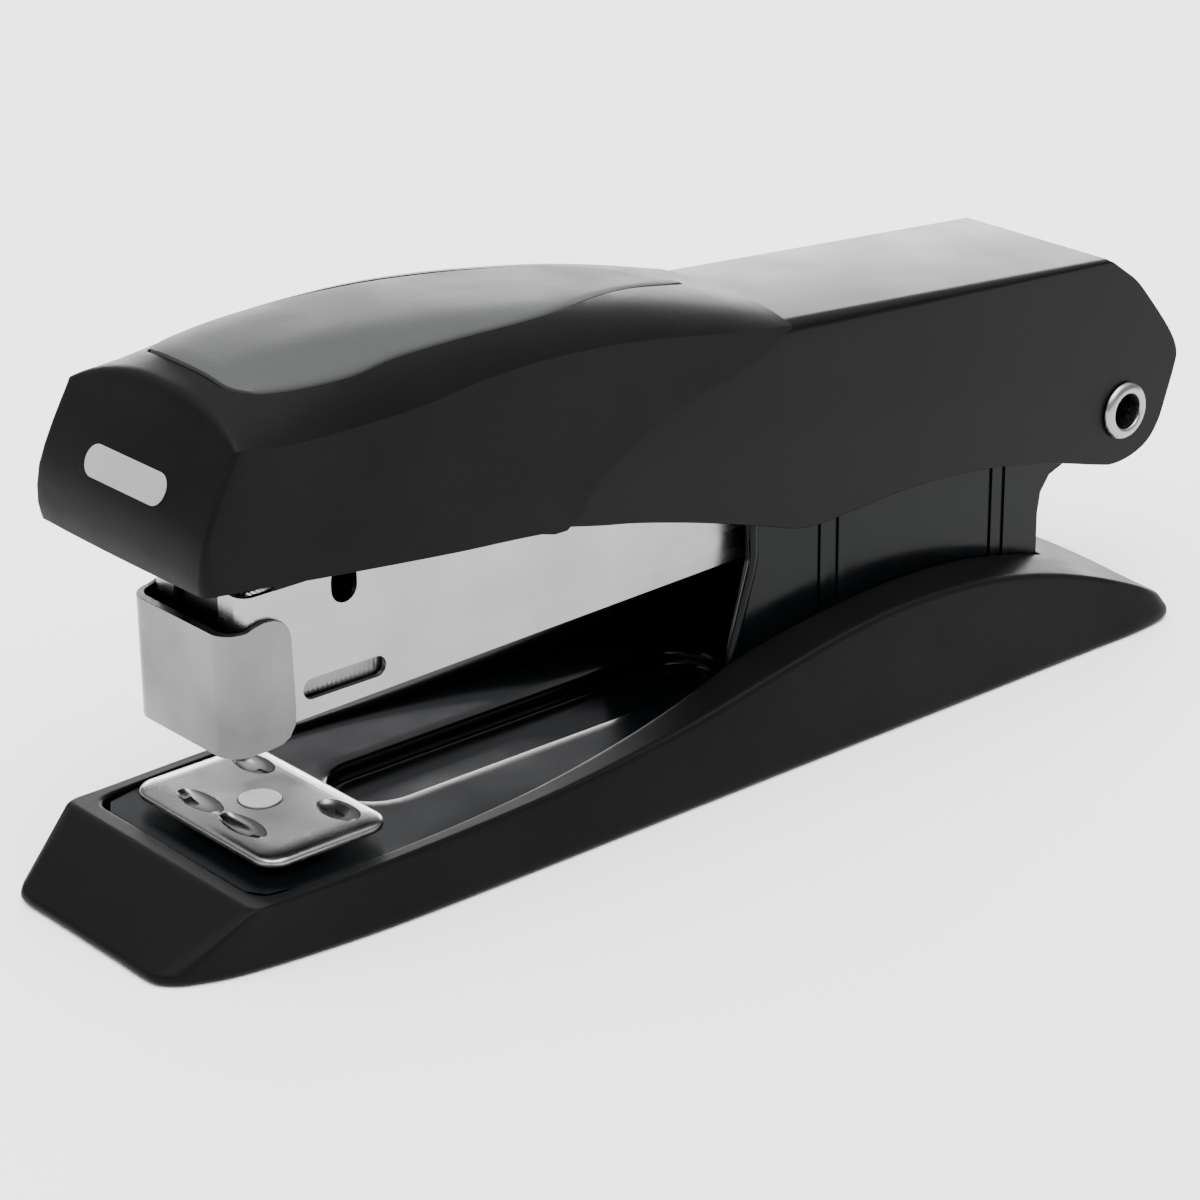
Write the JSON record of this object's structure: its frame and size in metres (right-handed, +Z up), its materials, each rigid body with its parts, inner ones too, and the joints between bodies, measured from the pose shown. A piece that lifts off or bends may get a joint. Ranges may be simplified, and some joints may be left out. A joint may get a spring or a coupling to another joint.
{
  "type": "desk stapler",
  "caption": "Desk stapler with a black base, bright staple magazine on a rear hinge, turning anvil and a long pressed handle with a plastic thumb cap.",
  "frame": {"origin": "middle of the footprint, at the underside of the rubber pad, on the table", "axes": "+X runs back from the nose to the rear hinge, +Y across the stapler, +Z up"},
  "size_m": [0.1388, 0.034, 0.0552],
  "materials": {
    "matte_black_plastic": "fine matt moulded black plastic",
    "grey_grip_plastic": "soft matt dark grey plastic",
    "rubber_pad": "matt black rubber",
    "gloss_black_paint": "high-gloss black enamel on pressed steel",
    "satin_black_paint": "satin black coating on pressed steel",
    "nickel_plate": "bright nickel-plated steel with fine rolling marks",
    "dark_spring_steel": "oiled dark spring steel",
    "printed_badge": "plain light grey mark, no lettering"
  },
  "bodies": {
    "base": {"base_moulding": "matte_black_plastic", "base_pad": "rubber_pad", "base_frame": "gloss_black_paint", "magazine_spring": "dark_spring_steel", "spring_rivet": "nickel_plate", "hinge_sleeve": "nickel_plate", "hinge_ring_near": "nickel_plate", "hinge_ring_far": "nickel_plate", "anvil_washer": "dark_spring_steel"},
    "anvil_lift": {"anvil_stem": "nickel_plate"},
    "anvil": {"anvil_plate": "nickel_plate"},
    "magazine": {"magazine_channel": "nickel_plate", "nose_cap": "nickel_plate", "staple_rail": "nickel_plate", "staple_strip": "nickel_plate", "guide_rod": "nickel_plate", "rod_anchor": "dark_spring_steel", "spacer_tube": "dark_spring_steel", "pusher_spring": "dark_spring_steel"},
    "pusher": {"pusher": "dark_spring_steel"},
    "carrier": {"carrier_channel": "satin_black_paint", "handle_spring": "dark_spring_steel", "leaf_rivet": "nickel_plate"},
    "handle": {"handle_channel": "satin_black_paint", "front_cap": "matte_black_plastic", "grip_inset": "grey_grip_plastic", "badge": "printed_badge"},
    "driver": {"driver_blade": "dark_spring_steel", "driver_head": "dark_spring_steel"}
  },
  "joints": [
    {"name": "magazine_hinge", "type": "hinge", "parent": "base", "child": "magazine", "pos_m": [0.0608, 0, 0.0243], "axis": [0, 1, 0], "range_deg": [-4.3, 8], "stiffness_Nm_per_rad": 2.5, "deforming": ["magazine_spring"]},
    {"name": "carrier_hinge", "type": "hinge", "parent": "magazine", "child": "carrier", "pos_m": [0.0608, 0, 0.0243], "axis": [0, 1, 0], "range_deg": [0, 80]},
    {"name": "handle_press", "type": "hinge", "parent": "carrier", "child": "handle", "pos_m": [0.0608, 0, 0.0243], "axis": [0, 1, 0], "range_deg": [-3.4, 0], "stiffness_Nm_per_rad": 3, "deforming": ["handle_spring"]},
    {"name": "driver_slide", "type": "slide", "parent": "carrier", "child": "driver", "axis": [0, 0, 1], "range_m": [-0.0071, 0]},
    {"name": "pusher_slide", "type": "slide", "parent": "magazine", "child": "pusher", "axis": [1, 0, 0], "range_m": [0, 0.035], "stiffness_N_per_m": 30, "springref_m": -0.03, "deforming": ["pusher_spring"]},
    {"name": "anvil_raise", "type": "slide", "parent": "base", "child": "anvil_lift", "axis": [0, 0, 1], "range_m": [0, 0.0018], "stiffness_N_per_m": 400, "springref_m": -0.001},
    {"name": "anvil_turn", "type": "hinge", "parent": "anvil_lift", "child": "anvil", "pos_m": [-0.04895, 0, 0.0072], "axis": [0, 0, 1], "range_deg": [0, 180]}
  ],
  "couplings": [
    {"joint": "driver_slide", "follows": "handle_press", "m_per_rad": 0.117}
  ]
}
